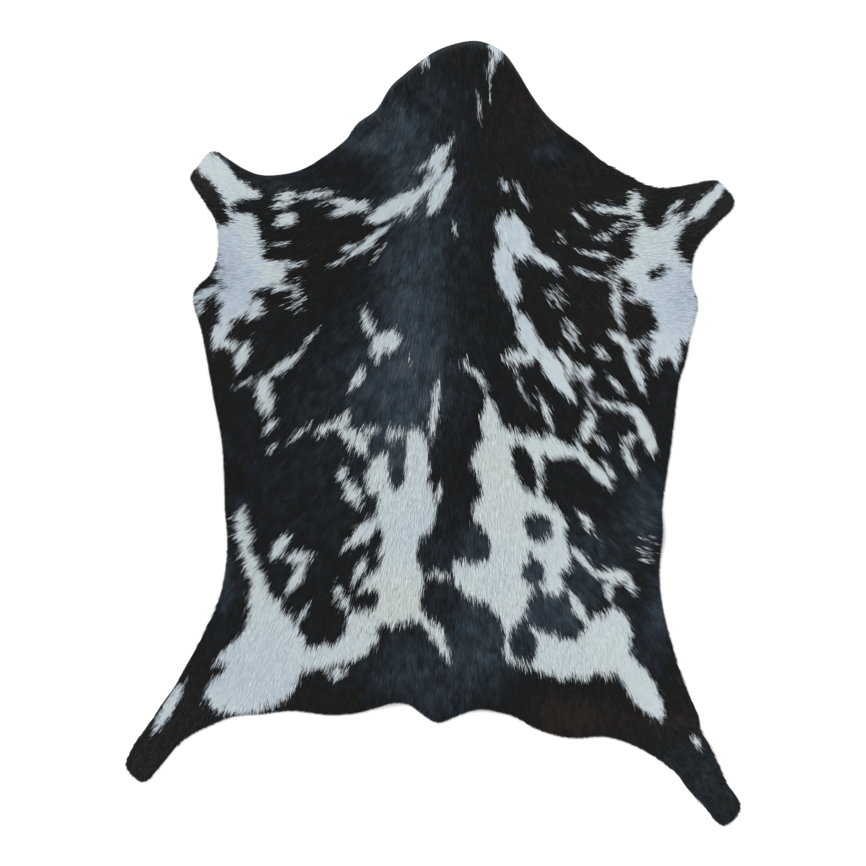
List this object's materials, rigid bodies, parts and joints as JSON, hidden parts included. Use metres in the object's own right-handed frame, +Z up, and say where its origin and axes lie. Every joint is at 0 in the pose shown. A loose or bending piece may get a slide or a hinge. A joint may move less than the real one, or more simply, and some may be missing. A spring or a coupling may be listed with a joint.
{
  "type": "goatskin rug",
  "caption": "Whole natural goatskin with its short black and white hair on, lying flat as a rug.",
  "frame": {"origin": "centre of the hide's box at the level of the floor that it lies on", "axes": "+Y along the spine to the neck, +X across the hide to the right foreleg as seen from above, +Z up out of the coat"},
  "size_m": [0.74, 0.944, 0.0132],
  "materials": {
    "hair_on_hide": "tanned skin under a short, glossy natural coat, black with white markings"
  },
  "bodies": {
    "root": {"goatskin": "hair_on_hide"}
  },
  "joints": []
}
